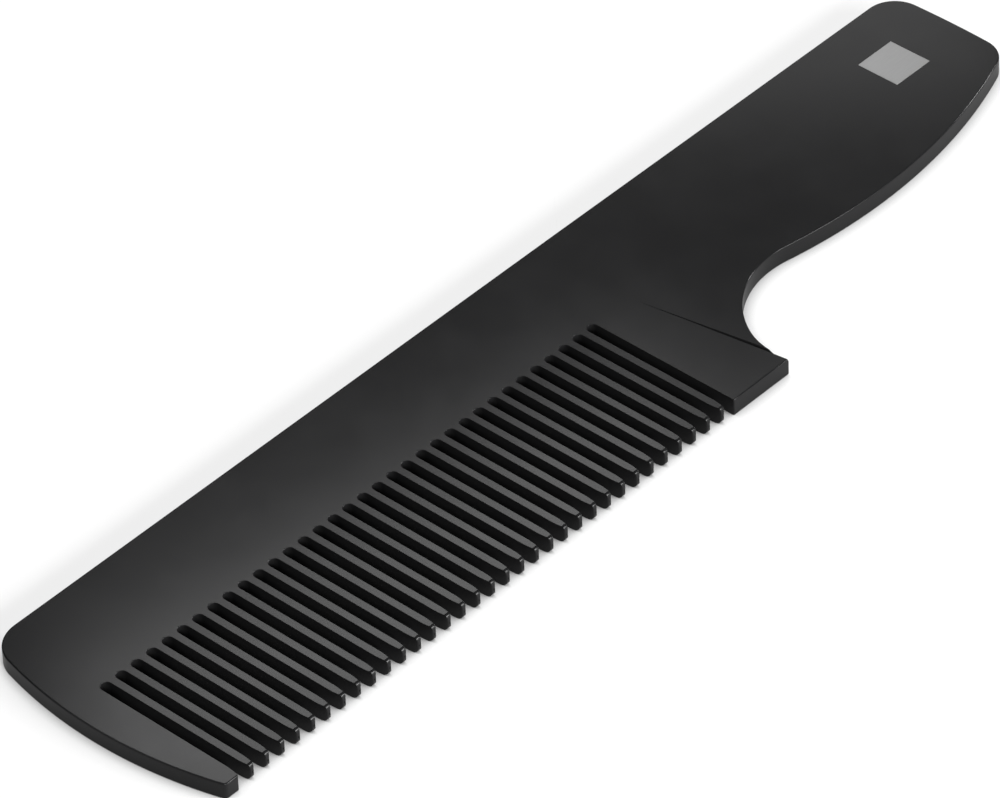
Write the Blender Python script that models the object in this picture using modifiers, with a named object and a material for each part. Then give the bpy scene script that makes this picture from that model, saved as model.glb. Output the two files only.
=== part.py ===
"""Flat hair comb cut from one plate, with a knife-shaped outline and a square tag let into the handle.

The plate is drawn in its own frame: x runs from the toe to the butt, y from the tooth tips to the spine,
and z from the underside up. An empty then puts the origin at the bottom centre of the comb.
"""
import math

import bmesh
import bpy
from mathutils import Vector

MM = 0.001

# Plate, level below and thinning above from the butt to the toe
butt_thickness = 2.82 * MM
toe_thickness = 2.55 * MM
edge_softening = 0.14 * MM

# Teeth
tooth_count = 33
tooth_pitch = 2.8 * MM
tooth_width = 1.14 * MM
tooth_length = 24.9 * MM
tip_width = 0.6 * MM
tip_run = 2.4 * MM
tip_top_run = 0.4 * MM
tip_top_drop = 0.55 * MM
tip_under_run = 0.85 * MM
tip_under_drop = 1.1 * MM

# Toe, spine and heel
toe_tip_width = 2.58 * MM
toe_radius = 68.4 * MM
toe_corner_radius = 5.5 * MM
spine_depth = 16.42 * MM
heel_guard_width = 10.94 * MM

# Handle
handle_length = 70.6 * MM
handle_depth = 27.55 * MM
handle_drop = 0.2 * MM
handle_axis_depth = 10.94 * MM
notch_radius = 10.9 * MM
neck_widening = 4.8 * MM
neck_overlap = 0.6 * MM
belly_radius = 90.4 * MM
belly_offset = 36.2 * MM
butt_radius = 170.0 * MM
corner_radius = 4.6 * MM

# Crease behind the teeth, a groove that opens from a point towards the finger notch
crease_below_roots = 2.9 * MM
crease_past_slots = 8.3 * MM
crease_depth = 0.16 * MM
crease_lean = math.radians(9.7)
crease_spread = math.radians(0.6)

# Tag on the handle's axis
tag_side = 7.06 * MM
tag_thickness = 0.6 * MM
tag_edge = 0.1 * MM
tag_from_butt = 12.3 * MM
fit_gap = 0.3 * MM

# Fineness of the facets: the sag is the largest distance between a true arc and its chords
facet_sag = 0.02 * MM
tip_steps = 4
tip_stations = 3
smooth_angle = math.radians(30.0)
weld_distance = 0.001 * MM

# Sizes that follow from the ones above
edge_depth = min(edge_softening, 0.4 * tip_width)
slot_width = tooth_pitch - tooth_width
slot_count = tooth_count + 1
tip_relief = (tooth_width - tip_width) / 2
neck_radius = notch_radius + neck_widening
comb_width = tooth_length + spine_depth
handle_axis_y = comb_width - handle_axis_depth
toe_tip_x = toe_radius - math.sqrt(toe_radius ** 2 - (comb_width / 2) ** 2)
first_slot_x = toe_tip_x + toe_tip_width + slot_width / 2
last_slot_x = first_slot_x + tooth_count * tooth_pitch
heel_guard_x = last_slot_x + slot_width / 2
heel_x = heel_guard_x + heel_guard_width
comb_length = heel_x + handle_length
tag_x = comb_length - tag_from_butt
crease_start = Vector((last_slot_x + crease_past_slots, tooth_length - crease_below_roots))


def arc(centre, radius, start, end):
    """Points on an arc from one angle to another, both included."""
    chord = math.sqrt(8 * radius * facet_sag)
    steps = max(2, math.ceil(abs(end - start) * radius / chord))
    angles = [start + (end - start) * step / steps for step in range(steps + 1)]
    return [centre + radius * Vector((math.cos(a), math.sin(a))) for a in angles]


def angle_to(centre, point):
    """Direction from a centre to a point, from 0 up to a full turn."""
    offset = point - centre
    return math.atan2(offset.y, offset.x) % (2 * math.pi)


def signed(angle):
    """The same direction, as an angle between minus and plus half a turn."""
    return (angle + math.pi) % (2 * math.pi) - math.pi


def circle_crossing(centre_a, radius_a, centre_b, radius_b):
    """The point at the given distances from two centres that lies to the left of the way from a to b."""
    between = centre_b - centre_a
    span = between.length
    along = (span ** 2 + radius_a ** 2 - radius_b ** 2) / (2 * span)
    across = math.sqrt(radius_a ** 2 - along ** 2)
    direction = between / span
    return centre_a + along * direction + across * Vector((-direction.y, direction.x))


def tip_side(wall_x, outward):
    """Side of a tooth from its blunt end up to the straight wall."""
    points = []
    for step in range(tip_steps + 1):
        height = tip_run * step / tip_steps
        relief = tip_relief * (1 - height / tip_run) ** 2
        points.append(Vector((wall_x - outward * relief, height)))
    return points


def tooth_row():
    """Outline of the slots and teeth, from the toe guard's tip to the heel guard's tip."""
    points = []
    root = tooth_length - slot_width / 2
    for slot in range(slot_count):
        centre_x = first_slot_x + slot * tooth_pitch
        points += tip_side(centre_x - slot_width / 2, 1)
        points += arc(Vector((centre_x, root)), slot_width / 2, math.pi, 0)
        if slot < tooth_count:
            points += reversed(tip_side(centre_x + slot_width / 2, -1))
        else:
            points.append(Vector((heel_guard_x, 0)))
    return points


def notch_edge(belly):
    """Finger notch and neck: two arcs that run from the heel's corner to the belly and touch each other."""
    neck_x = heel_x + neck_radius - neck_overlap
    neck_rise = math.sqrt((neck_radius + belly_radius) ** 2 - (belly.x - neck_x) ** 2)
    neck = Vector((neck_x, belly.y - neck_rise))
    notch_x = heel_x + notch_radius
    notch_rise = math.sqrt(neck_widening ** 2 - (neck_x - notch_x) ** 2)
    notch = Vector((notch_x, neck.y + notch_rise))
    turn = angle_to(neck, notch)
    heel = math.pi + math.asin(max(-0.9, min(0.9, notch.y / notch_radius)))
    points = arc(notch, notch_radius, heel, turn) + arc(neck, neck_radius, turn, angle_to(neck, belly))[1:]
    return points, angle_to(belly, neck)


def handle_edge():
    """Outline from the heel's corner round the finger notch, the belly and the butt to the spine."""
    belly = Vector((heel_x + belly_offset, comb_width - handle_depth + belly_radius))
    butt = Vector((comb_length - butt_radius, handle_axis_y))
    low = circle_crossing(belly, belly_radius - corner_radius, butt, butt_radius - corner_radius)
    high_y = comb_width - handle_drop - corner_radius
    high_reach = math.sqrt((butt_radius - corner_radius) ** 2 - (high_y - butt.y) ** 2)
    high = Vector((butt.x + high_reach, high_y))
    belly_end = angle_to(belly, low)
    butt_start = signed(angle_to(butt, low))
    butt_end = signed(angle_to(butt, high))
    points, belly_start = notch_edge(belly)
    points += arc(belly, belly_radius, belly_start, belly_end)[1:]
    points += arc(low, corner_radius, signed(belly_end), butt_start)[1:]
    points += arc(butt, butt_radius, butt_start, butt_end)[1:]
    points += arc(high, corner_radius, butt_end, math.pi / 2)[1:]
    points.append(Vector((heel_x, comb_width)))
    return points


def toe_edge():
    """Outline from the spine round the toe to the toe guard's tip."""
    toe = Vector((toe_radius, comb_width / 2))
    corner_y = comb_width - toe_corner_radius
    reach = math.sqrt((toe_radius - toe_corner_radius) ** 2 - (corner_y - toe.y) ** 2)
    corner = Vector((toe.x - reach, corner_y))
    turn = angle_to(toe, corner)
    points = arc(corner, toe_corner_radius, math.pi / 2, turn)
    points += arc(toe, toe_radius, turn, angle_to(toe, Vector((toe_tip_x, 0))))[1:]
    return points


def plate_blank():
    """The comb's outline as an even blank with softened edges, half above and half below z = 0."""
    points = tooth_row() + handle_edge() + toe_edge()
    curve = bpy.data.curves.new("comb_plate_outline", 'CURVE')
    curve.dimensions = '2D'
    curve.fill_mode = 'BOTH'
    curve.extrude = butt_thickness / 2 - edge_depth
    curve.bevel_depth = edge_depth
    curve.bevel_resolution = 0
    curve.offset = -edge_depth
    spline = curve.splines.new('POLY')
    spline.points.add(len(points) - 1)
    for spline_point, point in zip(spline.points, points):
        spline_point.co = (point.x, point.y, 0, 1)
    spline.use_cyclic_u = True
    holder = bpy.data.objects.new("comb_plate_outline", curve)
    bpy.context.scene.collection.objects.link(holder)
    evaluated = holder.evaluated_get(bpy.context.evaluated_depsgraph_get())
    mesh = bpy.data.meshes.new_from_object(evaluated)
    mesh.name = "comb_plate"
    bpy.data.objects.remove(holder)
    return mesh


def on_cap(face):
    """Whether a face of the blank lies in its upper or lower plane."""
    return all(abs(vert.co.z) > butt_thickness / 2 - weld_distance for vert in face.verts)


def cut_lines(bm):
    """Adds the edges along which the tips and the crease bend, and parts the spine at each slot."""
    tips = [tip_under_run * ((station + 1) / tip_stations) ** 2 for station in range(tip_stations)]
    planes = [(Vector((0, y, 0)), Vector((0, 1, 0))) for y in tips]
    slots = [first_slot_x + slot * tooth_pitch for slot in range(slot_count)]
    planes += [(Vector((x, 0, 0)), Vector((1, 0, 0))) for x in slots]
    leans = (crease_lean - crease_spread, crease_lean, crease_lean + crease_spread)
    planes += [(crease_start.to_3d(), Vector((math.cos(lean), math.sin(lean), 0))) for lean in leans]
    for point, normal in planes:
        geometry = bm.verts[:] + bm.edges[:] + bm.faces[:]
        bmesh.ops.bisect_plane(bm, geom=geometry, dist=weld_distance, plane_co=point, plane_no=normal)


def face_height(x):
    """Height of the plain upper face above the underside."""
    return toe_thickness + (butt_thickness - toe_thickness) * x / comb_length


def crease_drop(x, y):
    """Depth of the crease at a place in plan."""
    place = Vector((x, y)) - crease_start
    along = place.x * math.sin(crease_lean) - place.y * math.cos(crease_lean)
    across = place.x * math.cos(crease_lean) + place.y * math.sin(crease_lean)
    half_width = along * math.tan(crease_spread)
    if along <= 0 or abs(across) >= half_width:
        return 0.0
    length = crease_start.y / math.cos(crease_lean)
    return crease_depth * along / length * (1 - abs(across) / half_width)


def tip_drop(x, y, run, drop):
    """How far a tooth's rounded end lies inside the plain plate at a place in plan."""
    if y >= run or not first_slot_x < x < last_slot_x:
        return 0.0
    return drop * (1 - math.sqrt(max(0.0, 1 - ((run - y) / run) ** 2)))


def comb_plate():
    """The plate: outline, softened edges, then the thinning, the crease and the rounded tooth tips."""
    mesh = plate_blank()
    bm = bmesh.new()
    bm.from_mesh(mesh)
    bmesh.ops.remove_doubles(bm, verts=bm.verts[:], dist=weld_distance)
    inner_edges = [edge for edge in bm.edges if all(on_cap(face) for face in edge.link_faces)]
    bmesh.ops.dissolve_edges(bm, edges=inner_edges)
    cut_lines(bm)
    for vert in bm.verts:
        x, y, z = vert.co
        if z > 0:
            below_face = butt_thickness / 2 - z + crease_drop(x, y) + tip_drop(x, y, tip_top_run, tip_top_drop)
            vert.co.z = face_height(x) - below_face
        else:
            vert.co.z = butt_thickness / 2 + z + tip_drop(x, y, tip_under_run, tip_under_drop)
    bmesh.ops.triangulate(bm, faces=bm.faces[:], ngon_method='BEAUTY')
    bmesh.ops.recalc_face_normals(bm, faces=bm.faces[:])
    bm.to_mesh(mesh)
    bm.free()
    mesh.shade_smooth()
    mesh.set_sharp_from_angle(angle=smooth_angle)
    return bpy.data.objects.new("comb_plate", mesh)


def block(name, side, height, centre_z):
    """A square block centred on the tag's place."""
    bm = bmesh.new()
    bmesh.ops.create_cube(bm, size=1)
    bmesh.ops.scale(bm, vec=Vector((side, side, height)), verts=bm.verts[:])
    mesh = bpy.data.meshes.new(name)
    bm.to_mesh(mesh)
    bm.free()
    obj = bpy.data.objects.new(name, mesh)
    obj.location = (tag_x, handle_axis_y, centre_z)
    return obj


def handle_tag():
    """The bare square tag, flush with the handle's upper face."""
    tag = block("handle_tag", tag_side, tag_thickness, face_height(tag_x) - tag_thickness / 2)
    softened = tag.modifiers.new("softened_edges", 'BEVEL')
    softened.width = tag_edge
    softened.segments = 1
    return tag


def pocket_cutter():
    """Cutter for the tag's pocket, standing proud of the handle."""
    height = 2 * (tag_thickness + fit_gap)
    cutter = block("tag_pocket_cutter", tag_side + 2 * fit_gap, height, face_height(tag_x))
    cutter.hide_render = True
    cutter.display_type = 'WIRE'
    return cutter


def finish(name, colour, roughness, metallic):
    """A plain material."""
    material = bpy.data.materials.new(name)
    material.use_nodes = True
    shader = material.node_tree.nodes["Principled BSDF"]
    shader.inputs["Base Color"].default_value = (*colour, 1)
    shader.inputs["Roughness"].default_value = roughness
    shader.inputs["Metallic"].default_value = metallic
    return material


def collection(name):
    """A collection linked to the scene."""
    group = bpy.data.collections.new(name)
    bpy.context.scene.collection.children.link(group)
    return group


def main():
    """Builds the comb."""
    for obj in list(bpy.data.objects):
        bpy.data.objects.remove(obj)
    parts = collection("hair_comb")
    cutters = collection("cutters")
    origin = bpy.data.objects.new("comb_origin", None)
    origin.location = (-comb_length / 2, -comb_width / 2, 0)
    parts.objects.link(origin)
    plate = comb_plate()
    tag = handle_tag()
    cutter = pocket_cutter()
    for obj, group in ((plate, parts), (tag, parts), (cutter, cutters)):
        group.objects.link(obj)
        obj.parent = origin
    pocket = plate.modifiers.new("tag_pocket", 'BOOLEAN')
    pocket.operation = 'DIFFERENCE'
    pocket.solver = 'EXACT'
    pocket.object = cutter
    coating = finish("black_satin_coating", colour=(0.012, 0.012, 0.013), roughness=0.4, metallic=0.0)
    steel = finish("bare_satin_steel", colour=(0.56, 0.56, 0.55), roughness=0.38, metallic=1.0)
    plate.data.materials.append(coating)
    tag.data.materials.append(steel)


main()
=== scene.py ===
"""Looks of a flat black hair comb with a knife-shaped outline, on a white studio floor.

The comb is drawn in the plate's own frame: x runs from the toe to the butt, y from the tooth tips to the
spine, and z from the underside up. The frame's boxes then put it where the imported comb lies.
"""
import math

import bmesh
import bpy
from mathutils import Euler, Matrix, Vector


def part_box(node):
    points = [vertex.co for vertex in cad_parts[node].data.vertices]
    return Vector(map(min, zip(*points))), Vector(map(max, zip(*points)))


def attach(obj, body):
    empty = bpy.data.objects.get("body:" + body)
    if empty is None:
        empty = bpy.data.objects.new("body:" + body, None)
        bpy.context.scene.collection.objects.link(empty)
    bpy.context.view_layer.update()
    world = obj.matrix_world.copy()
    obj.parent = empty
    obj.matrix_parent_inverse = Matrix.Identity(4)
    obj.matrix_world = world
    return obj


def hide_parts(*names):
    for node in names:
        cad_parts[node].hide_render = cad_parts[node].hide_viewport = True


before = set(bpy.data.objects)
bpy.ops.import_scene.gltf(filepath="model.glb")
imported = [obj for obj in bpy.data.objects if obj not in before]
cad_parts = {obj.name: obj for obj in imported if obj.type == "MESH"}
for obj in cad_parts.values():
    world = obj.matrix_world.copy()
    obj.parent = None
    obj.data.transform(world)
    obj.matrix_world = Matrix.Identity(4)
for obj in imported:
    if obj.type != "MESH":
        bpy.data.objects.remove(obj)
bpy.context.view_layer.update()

MM = 0.001

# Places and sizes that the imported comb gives
plate_low, plate_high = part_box("comb_plate")
tag_low, tag_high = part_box("handle_tag")
butt_thickness = plate_high.z - plate_low.z
comb_width = plate_high.y - plate_low.y
tag_side = tag_high.x - tag_low.x
tag_thickness = tag_high.z - tag_low.z
tag_centre = (tag_low + tag_high) / 2

# Teeth
tooth_count = 33
tooth_pitch = 2.8 * MM
tooth_width = 1.14 * MM
tooth_length = 24.9 * MM
tip_width = 0.6 * MM
tip_run = 2.4 * MM
tip_top_run = 0.45 * MM
tip_top_drop = 1.0 * MM
tip_under_run = 0.85 * MM
tip_under_drop = 1.1 * MM

# Toe and heel
toe_thickness = 2.55 * MM
toe_tip_width = 2.58 * MM
toe_radius = 68.4 * MM
toe_corner_radius = 5.5 * MM
heel_guard_width = 10.94 * MM

# Handle
handle_length = 70.6 * MM
handle_depth = 27.55 * MM
handle_drop = 0.2 * MM
handle_axis_depth = 10.94 * MM
notch_radius = 10.9 * MM
neck_widening = 4.8 * MM
neck_overlap = 0.6 * MM
belly_radius = 90.4 * MM
belly_offset = 36.2 * MM
butt_radius = 170.0 * MM
corner_radius = 4.6 * MM

# Edges
outer_edge_radius = 0.18 * MM
slot_edge_radius = 0.05 * MM
edge_segments = 4
small_corner_radius = 0.22 * MM
tip_corner_radius = 0.26 * MM
toe_end_radius = 0.7 * MM
small_corner_turn = math.radians(35.0)
small_corner_steps = 6

# Crease behind the teeth, a groove that opens from a point towards the finger notch
crease_below_roots = 1.5 * MM
crease_past_slots = 8.06 * MM
crease_depth = 0.55 * MM
crease_lean = math.radians(9.7)
crease_spread = math.radians(0.8)

# Tag seat
tag_gap = 0.03 * MM
tag_edge = 0.04 * MM

# Fineness of the mesh
facet_sag = 0.004 * MM
tip_steps = 8
tip_stations = 7
tip_zone = 1.1 * tip_under_run
sharp_turn = math.radians(50.0)
level_normal = 0.9995
weld_distance = 0.001 * MM

# Sizes that follow from the ones above
slot_width = tooth_pitch - tooth_width
slot_count = tooth_count + 1
tip_relief = (tooth_width - tip_width) / 2
neck_radius = notch_radius + neck_widening
handle_axis_y = comb_width - handle_axis_depth
toe_tip_x = toe_radius - math.sqrt(toe_radius ** 2 - (comb_width / 2) ** 2)
first_slot_x = toe_tip_x + toe_tip_width + slot_width / 2
last_slot_x = first_slot_x + tooth_count * tooth_pitch
heel_guard_x = last_slot_x + slot_width / 2
heel_x = heel_guard_x + heel_guard_width
comb_length = heel_x + handle_length
crease_start = Vector((last_slot_x + crease_past_slots, tooth_length - crease_below_roots))
plate_to_frame = Vector((-comb_length / 2, -comb_width / 2, 0))

# Black coating: smooth on level faces, rougher on cut edges, with soft clouds and a fine grain
coating_black = (0.0085, 0.0085, 0.0088, 1)
# Darker colour on the cut walls: painted shade that darkens the slots between the teeth and the side walls
painted_shade_wall_black = (0.005, 0.005, 0.0052, 1)
coating_specular = 0.12
level_share = 0.1, 0.4
cut_edge_roughness = 0.39
face_smoothing = 0.285
cloud_roughness = 0.05
cloud_size = 6 * MM
coating_grain_size = 0.22 * MM
coating_grain_strength = 0.04
coating_grain_height = 0.02 * MM

# Bare steel of the tag, with a grain drawn out along x
steel_dark = (0.288, 0.288, 0.288, 1)
steel_light = (0.352, 0.352, 0.352, 1)
steel_roughness = 0.34
steel_grain_roughness = 0.12
steel_grain_size = 0.15 * MM
steel_grain_draw = (0.06, 1, 1)

# Floor: its own colour, and the glow that makes it show white away from the comb
floor_size = 12
floor_drop = 0.02 * MM
floor_grey = 0.25
floor_glow = 0.74
# Near the comb the glow fades with ambient occlusion: painted contact shade
floor_shade_reach = 6 * MM
floor_shade = 0.28, 0.78
surround_grey = 0.08

# Camera
camera_target = Vector((-10.48, 3.07, 2.67)) * MM
camera_distance = 964.95 * MM
camera_azimuth = math.radians(-46.332)
camera_elevation = math.radians(40.030)
camera_roll = math.radians(-2.343)
camera_lens = 263.878
camera_sensor = 36.0


def arc(centre, radius, start, end):
    """Points on an arc from one angle to another, both included."""
    chord = math.sqrt(8 * radius * facet_sag)
    steps = max(2, math.ceil(abs(end - start) * radius / chord))
    angles = [start + (end - start) * step / steps for step in range(steps + 1)]
    return [centre + radius * Vector((math.cos(a), math.sin(a))) for a in angles]


def angle_to(centre, point):
    """Direction from a centre to a point, from 0 up to a full turn."""
    offset = point - centre
    return math.atan2(offset.y, offset.x) % (2 * math.pi)


def signed(angle):
    """The same direction, as an angle between minus and plus half a turn."""
    return (angle + math.pi) % (2 * math.pi) - math.pi


def circle_crossing(centre_a, radius_a, centre_b, radius_b):
    """The point at the given distances from two centres that lies to the left of the way from a to b."""
    between = centre_b - centre_a
    span = between.length
    along = (span ** 2 + radius_a ** 2 - radius_b ** 2) / (2 * span)
    across = math.sqrt(radius_a ** 2 - along ** 2)
    direction = between / span
    return centre_a + along * direction + across * Vector((-direction.y, direction.x))


def tip_side(wall_x, outward):
    """Side of a tooth from its blunt end up to the straight wall."""
    points = []
    for step in range(tip_steps + 1):
        height = tip_run * step / tip_steps
        relief = tip_relief * (1 - height / tip_run) ** 2
        points.append(Vector((wall_x - outward * relief, height)))
    return points


def tooth_row():
    """Outline of the slots and teeth, from the toe guard's tip to the heel guard's tip."""
    points = []
    root = tooth_length - slot_width / 2
    for slot in range(slot_count):
        centre_x = first_slot_x + slot * tooth_pitch
        points += tip_side(centre_x - slot_width / 2, 1)
        points += arc(Vector((centre_x, root)), slot_width / 2, math.pi, 0)
        if slot < tooth_count:
            points += reversed(tip_side(centre_x + slot_width / 2, -1))
        else:
            points.append(Vector((heel_guard_x, 0)))
    return points


def notch_edge(belly):
    """Finger notch and neck: two arcs that run from the heel's corner to the belly and touch each other."""
    neck_x = heel_x + neck_radius - neck_overlap
    neck_rise = math.sqrt((neck_radius + belly_radius) ** 2 - (belly.x - neck_x) ** 2)
    neck = Vector((neck_x, belly.y - neck_rise))
    notch_x = heel_x + notch_radius
    notch_rise = math.sqrt(neck_widening ** 2 - (neck_x - notch_x) ** 2)
    notch = Vector((notch_x, neck.y + notch_rise))
    turn = angle_to(neck, notch)
    heel = math.pi + math.asin(notch.y / notch_radius)
    points = arc(notch, notch_radius, heel, turn) + arc(neck, neck_radius, turn, angle_to(neck, belly))[1:]
    return points, angle_to(belly, neck)


def handle_edge():
    """Outline from the heel's corner round the finger notch, the belly and the butt to the spine."""
    belly = Vector((heel_x + belly_offset, comb_width - handle_depth + belly_radius))
    butt = Vector((comb_length - butt_radius, handle_axis_y))
    low = circle_crossing(belly, belly_radius - corner_radius, butt, butt_radius - corner_radius)
    high_y = comb_width - handle_drop - corner_radius
    high_reach = math.sqrt((butt_radius - corner_radius) ** 2 - (high_y - butt.y) ** 2)
    high = Vector((butt.x + high_reach, high_y))
    belly_end = angle_to(belly, low)
    butt_start = signed(angle_to(butt, low))
    butt_end = signed(angle_to(butt, high))
    points, belly_start = notch_edge(belly)
    points += arc(belly, belly_radius, belly_start, belly_end)[1:]
    points += arc(low, corner_radius, signed(belly_end), butt_start)[1:]
    points += arc(butt, butt_radius, butt_start, butt_end)[1:]
    points += arc(high, corner_radius, butt_end, math.pi / 2)[1:]
    points.append(Vector((heel_x, comb_width)))
    return points


def toe_edge():
    """Outline from the spine round the toe to the toe guard's tip."""
    toe = Vector((toe_radius, comb_width / 2))
    corner_y = comb_width - toe_corner_radius
    reach = math.sqrt((toe_radius - toe_corner_radius) ** 2 - (corner_y - toe.y) ** 2)
    corner = Vector((toe.x - reach, corner_y))
    turn = angle_to(toe, corner)
    points = arc(corner, toe_corner_radius, math.pi / 2, turn)
    points += arc(toe, toe_radius, turn, angle_to(toe, Vector((toe_tip_x, 0))))[1:]
    return points


def on_teeth(x):
    """Whether a place lies among the teeth, between the two guards."""
    return first_slot_x < x < last_slot_x


def soften_corners(points):
    """The outline with a small arc in place of each sharp corner."""
    softened = []
    for index, corner in enumerate(points):
        before = (corner - points[index - 1]).normalized()
        after = (points[(index + 1) % len(points)] - corner).normalized()
        turn = before.angle_signed(after)
        if abs(turn) < small_corner_turn:
            softened.append(corner)
            continue
        radius = tip_corner_radius if on_teeth(corner.x) else small_corner_radius
        if corner.x < toe_tip_x + toe_tip_width / 2:
            radius = toe_end_radius
        reach = radius * math.tan(abs(turn) / 2)
        start, end = corner - reach * before, corner + reach * after
        for step in range(small_corner_steps + 1):
            share = step / small_corner_steps
            softened.append(start.lerp(corner, share).lerp(corner.lerp(end, share), share))
    return softened


def edge_radius(point):
    """How round the plate's edge is at a place: the slots are cut sharp and the outer edges are broken."""
    guards = first_slot_x - slot_width / 2 - tip_relief, heel_guard_x + weld_distance
    in_row = guards[0] <= point.x <= guards[1] and point.y <= tooth_length
    return slot_edge_radius if in_row else outer_edge_radius


def inward_step(points, index):
    """The way from an outline point into the plate that leaves both of its edges at the same distance."""
    before = (points[index] - points[index - 1]).normalized()
    after = (points[(index + 1) % len(points)] - points[index]).normalized()
    first, second = Vector((-before.y, before.x)), Vector((-after.y, after.x))
    return (first + second) / (1 + first.dot(second))


def blank_rings():
    """Rings round the blank: from the upper face over its rounded edge, down the wall and round to the lower face."""
    points = soften_corners(tooth_row() + handle_edge() + toe_edge())
    edges = [(point, inward_step(points, index), edge_radius(point)) for index, point in enumerate(points)]
    half = butt_thickness / 2
    upper = []
    for station in range(edge_segments + 1):
        turn = math.pi / 2 * station / edge_segments
        inset, fall = 1 - math.sin(turn), 1 - math.cos(turn)
        upper.append([(*(point + radius * inset * step), half - radius * fall) for point, step, radius in edges])
    upper.append([(*point, half - 2 * outer_edge_radius) for point in points])
    lower = [[(x, y, -z) for x, y, z in ring] for ring in reversed(upper)]
    return upper + lower


def plate_blank():
    """The comb's outline as an even blank with round edges, half above and half below z = 0."""
    bm = bmesh.new()
    rings = [[bm.verts.new(place) for place in ring] for ring in blank_rings()]
    bm.faces.new(rings[0])
    bm.faces.new(reversed(rings[-1]))
    for above, below in zip(rings, rings[1:]):
        for index in range(len(above)):
            bm.faces.new((above[index - 1], below[index - 1], below[index], above[index]))
    return bm


def cut_lines(bm):
    """Adds the edges along which the tips and the crease bend, and parts the spine at each slot."""
    tips = [tip_under_run * (station / tip_stations) ** 2 for station in range(1, tip_stations + 1)]
    planes = [(Vector((0, y, 0)), Vector((0, 1, 0))) for y in tips]
    slots = [first_slot_x + slot * tooth_pitch for slot in range(slot_count)]
    planes += [(Vector((x, 0, 0)), Vector((1, 0, 0))) for x in slots]
    leans = (crease_lean - crease_spread, crease_lean, crease_lean + crease_spread)
    planes += [(crease_start.to_3d(), Vector((math.cos(lean), math.sin(lean), 0))) for lean in leans]
    for point, normal in planes:
        geometry = bm.verts[:] + bm.edges[:] + bm.faces[:]
        bmesh.ops.bisect_plane(bm, geom=geometry, dist=weld_distance, plane_co=point, plane_no=normal)


def face_height(x):
    """Height of the plain upper face above the underside."""
    return toe_thickness + (butt_thickness - toe_thickness) * x / comb_length


def crease_drop(x, y):
    """Depth of the crease at a place in plan."""
    place = Vector((x, y)) - crease_start
    along = place.x * math.sin(crease_lean) - place.y * math.cos(crease_lean)
    across = place.x * math.cos(crease_lean) + place.y * math.sin(crease_lean)
    half_width = along * math.tan(crease_spread)
    if along <= 0 or abs(across) >= half_width:
        return 0.0
    length = crease_start.y / math.cos(crease_lean)
    return crease_depth * along / length * (1 - abs(across) / half_width)


def tip_drop(x, y, run, drop):
    """How far a tooth's rounded end lies inside the plain plate at a place in plan."""
    if y >= run or not on_teeth(x):
        return 0.0
    return drop * (1 - math.sqrt(max(0.0, 1 - ((run - y) / run) ** 2)))


def comb_mesh():
    """The plate's mesh: outline, round edges, then the thinning, the crease and the rounded tooth tips."""
    bm = plate_blank()
    cut_lines(bm)
    half = butt_thickness / 2
    for vert in bm.verts:
        x, y, z = vert.co
        if z > 0:
            drop = crease_drop(x, y) + tip_drop(x, y, tip_top_run, tip_top_drop)
            height = face_height(x) - (half - z) - drop
        else:
            height = half + z + tip_drop(x, y, tip_under_run, tip_under_drop)
        vert.co = Vector((x, y, height)) + plate_to_frame
    bmesh.ops.triangulate(bm, faces=bm.faces[:], ngon_method='BEAUTY')
    bmesh.ops.recalc_face_normals(bm, faces=bm.faces[:])
    mesh = bpy.data.meshes.new("comb_body")
    bm.to_mesh(mesh)
    bm.free()
    return mesh


def crisp_faces(mesh):
    """Shades the mesh smooth, with hard edges where its level faces end."""
    mesh.shade_smooth()
    mesh.set_sharp_from_angle(angle=sharp_turn)
    bm = bmesh.new()
    bm.from_mesh(mesh)
    for edge in bm.edges:
        levels = [abs(face.normal.z) > level_normal for face in edge.link_faces]
        start, end = (vert.co - plate_to_frame for vert in edge.verts)
        across_tip = max(start.y, end.y) < tip_zone and on_teeth(start.x) and \
            abs(start.y - end.y) < weld_distance
        if any(levels) and not all(levels) and not across_tip:
            edge.smooth = False
    bm.to_mesh(mesh)
    bm.free()


def block(name, side, height, centre):
    """A square block of the given height."""
    bm = bmesh.new()
    bmesh.ops.create_cube(bm, size=1)
    bmesh.ops.scale(bm, vec=Vector((side, side, height)), verts=bm.verts[:])
    bmesh.ops.translate(bm, vec=centre, verts=bm.verts[:])
    mesh = bpy.data.meshes.new(name)
    bm.to_mesh(mesh)
    bm.free()
    obj = bpy.data.objects.new(name, mesh)
    bpy.context.scene.collection.objects.link(obj)
    return obj


def comb_body():
    """The comb, with a close pocket for the tag."""
    body = bpy.data.objects.new("comb_body", comb_mesh())
    bpy.context.scene.collection.objects.link(body)
    pocket_top = Vector((tag_centre.x, tag_centre.y, tag_high.z))
    cutter = block("tag_pocket", tag_side + 2 * tag_gap, 2 * (tag_thickness + tag_gap), pocket_top)
    pocket = body.modifiers.new("tag_pocket", 'BOOLEAN')
    pocket.operation = 'DIFFERENCE'
    pocket.solver = 'EXACT'
    pocket.object = cutter
    evaluated = body.evaluated_get(bpy.context.evaluated_depsgraph_get())
    body.data = bpy.data.meshes.new_from_object(evaluated)
    body.modifiers.clear()
    bpy.data.objects.remove(cutter)
    crisp_faces(body.data)
    return body


def tag_plate():
    """The bare square tag, flush with the handle's upper face."""
    tag = block("tag_plate", tag_side, tag_thickness, tag_centre)
    softened = tag.modifiers.new("softened_edges", 'BEVEL')
    softened.width = tag_edge
    softened.segments = 3
    return tag


class Value:
    """A node's output that takes part in arithmetic: each operation adds a Math node."""

    def __init__(self, finish, socket):
        self.finish = finish
        self.socket = socket

    def math(self, operation, first, second):
        return self.finish.node('ShaderNodeMath', {"operation": operation}, {0: first, 1: second})

    def __add__(self, other):
        return self.math('ADD', self, other)

    def __radd__(self, other):
        return self.math('ADD', other, self)

    def __rsub__(self, other):
        return self.math('SUBTRACT', other, self)

    def __mul__(self, other):
        return self.math('MULTIPLY', self, other)

    def __rmul__(self, other):
        return self.math('MULTIPLY', other, self)


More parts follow.
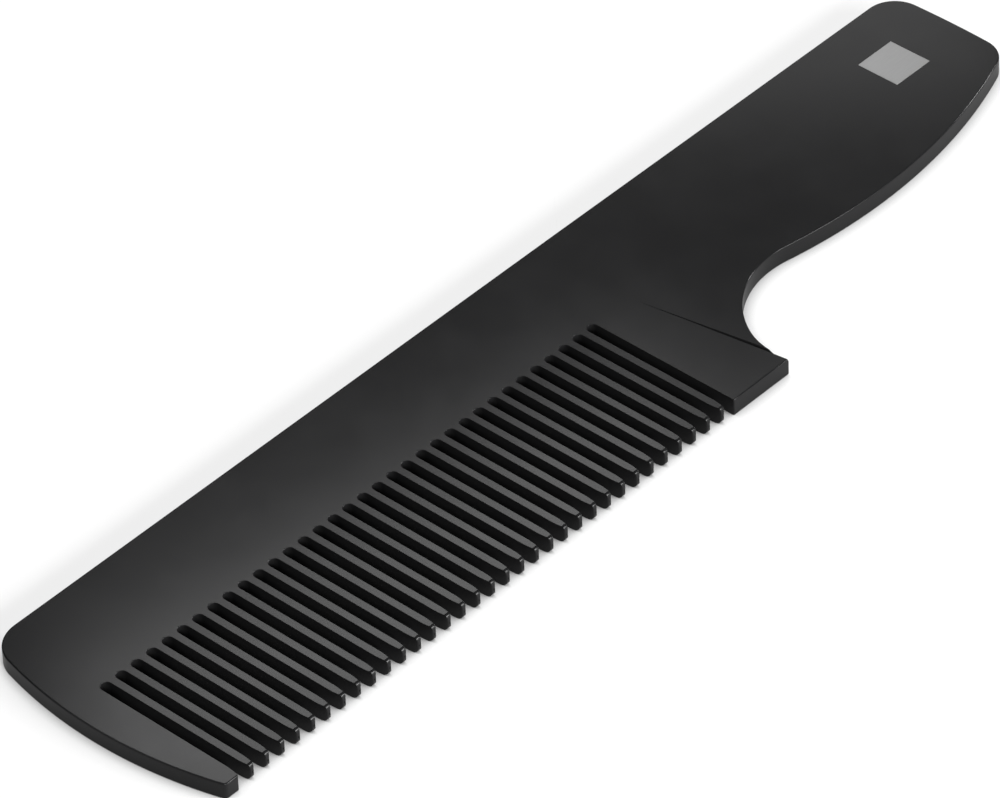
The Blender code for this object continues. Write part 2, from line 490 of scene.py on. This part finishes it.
class Finish:
    """A material under construction."""

    def __init__(self, name):
        self.material = bpy.data.materials.new(name)
        self.material.use_nodes = True
        self.tree = self.material.node_tree
        self.shader = self.tree.nodes["Principled BSDF"]

    def feed(self, node, sockets):
        """Links or sets a node's inputs, by name or place."""
        for key, value in sockets.items():
            if isinstance(value, Value):
                self.tree.links.new(value.socket, node.inputs[key])
            else:
                node.inputs[key].default_value = value

    def node(self, kind, settings=None, sockets=None, output=0):
        """A node of any type, with its settings, its inputs and the output that is used."""
        node = self.tree.nodes.new(kind)
        for key, value in (settings or {}).items():
            setattr(node, key, value)
        self.feed(node, sockets or {})
        return Value(self, node.outputs[output])

    def axis(self, place, name):
        """One coordinate of a place."""
        return self.node('ShaderNodeSeparateXYZ', None, {0: place}, name)

    def share(self, value, start, end):
        """0 where a value is at its start or below, 1 where it is at its end or above, and even in between."""
        return self.node('ShaderNodeMapRange', None, {"Value": value, "From Min": start, "From Max": end})

    def noise(self, place, size, detail=2.0):
        """Soft noise whose blotches have the given size."""
        return self.node('ShaderNodeTexNoise', None, {"Vector": place, "Scale": 1 / size, "Detail": detail})

    def blend(self, share, first, second):
        """One colour fading into another."""
        return self.node('ShaderNodeMix', {"data_type": 'RGBA'}, {0: share, 6: first, 7: second}, 2)


def black_coating():
    """Black satin coating, slightly cloudy, with a duller finish on the cut edges and a darker colour there as
    painted shade for the slots and side walls.
    """
    finish = Finish("black_satin_coating")
    place = finish.node('ShaderNodeTexCoord', output="Object")
    facing = finish.axis(finish.node('ShaderNodeTexCoord', output="Normal"), "Z")
    level = finish.share(facing * facing, *level_share)
    cloud = finish.noise(place, cloud_size, 4.0)
    grain = finish.noise(place, coating_grain_size)
    roughness = cut_edge_roughness - face_smoothing * level + cloud_roughness * cloud
    relief = {"Strength": coating_grain_strength, "Distance": coating_grain_height, "Height": grain}
    bump = finish.node('ShaderNodeBump', None, relief)
    # The walls take the darker colour: painted shade for the slots and side walls
    colour = finish.blend(level, painted_shade_wall_black, coating_black)
    finish.shader.inputs["Specular IOR Level"].default_value = coating_specular
    finish.feed(finish.shader, {"Base Color": colour, "Roughness": roughness, "Normal": bump})
    return finish.material


def bare_steel():
    """Satin steel with a fine brushed grain."""
    finish = Finish("bare_satin_steel")
    place = finish.node('ShaderNodeTexCoord', output="Object")
    drawn = finish.node('ShaderNodeVectorMath', {"operation": 'MULTIPLY'}, {0: place, 1: steel_grain_draw})
    grain = finish.noise(drawn, steel_grain_size, 3.0)
    colour = finish.blend(grain, steel_dark, steel_light)
    finish.shader.inputs["Metallic"].default_value = 1.0
    roughness = steel_roughness + steel_grain_roughness * grain
    finish.feed(finish.shader, {"Base Color": colour, "Roughness": roughness})
    return finish.material


def studio_floor():
    """A wide pale floor that shows white, and darkens where the comb shades it; near the comb its glow also fades, as
    painted contact shade.
    """
    bpy.ops.mesh.primitive_plane_add(size=floor_size, location=(0, 0, -floor_drop))
    floor = bpy.context.object
    floor.name = "studio_floor"
    finish = Finish("white_floor")
    finish.shader.inputs["Base Color"].default_value = (floor_grey, floor_grey, floor_grey, 1)
    finish.shader.inputs["Roughness"].default_value = 0.9
    finish.shader.inputs["Specular IOR Level"].default_value = 0.0
    rays = ("Is Camera Ray", "Is Glossy Ray", "Is Transmission Ray")
    camera, glossy, transmitted = (finish.node('ShaderNodeLightPath', output=ray) for ray in rays)
    openness = finish.node('ShaderNodeAmbientOcclusion', None, {"Distance": floor_shade_reach}, "AO")
    # The glow fades with ambient occlusion near the comb: painted contact shade on the floor
    shown = (camera + glossy + transmitted) * finish.share(openness, *floor_shade)
    glow = finish.blend(shown, (0, 0, 0, 1), (floor_glow, floor_glow, floor_glow, 1))
    finish.shader.inputs["Emission Strength"].default_value = 1.0
    finish.feed(finish.shader, {"Emission Color": glow})
    floor.data.materials.append(finish.material)


def area_lamp(name, width, depth, glow):
    """A rectangular lamp that the camera doesn't see; the glow is its brightness as seen from the comb."""
    lamp = bpy.data.lights.new(name, 'AREA')
    lamp.shape = 'RECTANGLE'
    lamp.size = width
    lamp.size_y = depth
    lamp.energy = math.pi * width * depth * glow
    holder = bpy.data.objects.new(name, lamp)
    holder.visible_camera = False
    bpy.context.scene.collection.objects.link(holder)
    return holder


def softbox(name, azimuth, elevation, distance, width, height, glow):
    """A lamp that faces the comb from the given direction, in degrees."""
    holder = area_lamp(name, width, height, glow)
    tilt = Euler((math.radians(90 - elevation), 0, math.radians(90 + azimuth))).to_matrix().to_4x4()
    holder.matrix_world = tilt @ Matrix.Translation((0, 0, distance))


def overhead_panel(name, place, width, depth, turn, glow):
    """A level lamp above the comb, turned by the given degrees."""
    holder = area_lamp(name, width, depth, glow)
    holder.location = place
    holder.rotation_euler.z = math.radians(turn)


def studio_lamps():
    """Level panels that the upper face mirrors, and softboxes for the edges and the floor."""
    overhead_panel("spine_panel", (0.2, 0.345, 0.36), width=0.16, depth=0.08, turn=0, glow=0.4)
    overhead_panel("toe_panel", (0.229, 0.255, 0.35), width=0.152, depth=0.06, turn=-8.7, glow=7.7)
    overhead_panel("heel_panel", (0.335, 0.204, 0.35), width=0.134, depth=0.088, turn=0, glow=1.9)
    overhead_panel("butt_panel", (0.538, 0.516, 0.35), width=0.489, depth=0.199, turn=45.7, glow=2.6)
    softbox("front_light", -71, 19, distance=1.3, width=0.68, height=0.4, glow=30.0)
    softbox("tip_light", -116, 17, distance=1.3, width=0.3, height=0.3, glow=85.0)
    softbox("glint_light", -18, 26, distance=1.3, width=0.22, height=0.22, glow=55.0)
    softbox("left_light", 145, 42, distance=1.3, width=0.7, height=0.7, glow=2.0)


def studio_world(level):
    """An even grey surround."""
    world = bpy.data.worlds.new("studio")
    world.use_nodes = True
    world.node_tree.nodes["Background"].inputs["Color"].default_value = (level, level, level, 1)
    bpy.context.scene.world = world


def studio_camera():
    """The camera at the photograph's viewing angle."""
    data = bpy.data.cameras.new("camera")
    data.lens = camera_lens
    data.sensor_width = camera_sensor
    camera = bpy.data.objects.new("camera", data)
    tilt = Euler((math.pi / 2 - camera_elevation, 0, camera_azimuth)).to_matrix()
    turned = tilt @ Matrix.Rotation(camera_roll, 3, 'Z')
    camera.matrix_world = Matrix.Translation(camera_target) @ turned.to_4x4() @ \
        Matrix.Translation((0, 0, camera_distance))
    bpy.context.scene.collection.objects.link(camera)
    bpy.context.scene.camera = camera


def main():
    """Dresses the comb and sets up the studio."""
    body = comb_body()
    body.data.materials.clear()
    body.data.materials.append(black_coating())
    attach(body, "root")
    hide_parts("comb_plate")
    tag = tag_plate()
    tag.data.materials.append(bare_steel())
    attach(tag, "root")
    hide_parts("handle_tag")
    studio_floor()
    studio_world(surround_grey)
    studio_lamps()
    studio_camera()
    bpy.context.scene.view_settings.view_transform = 'Standard'


main()
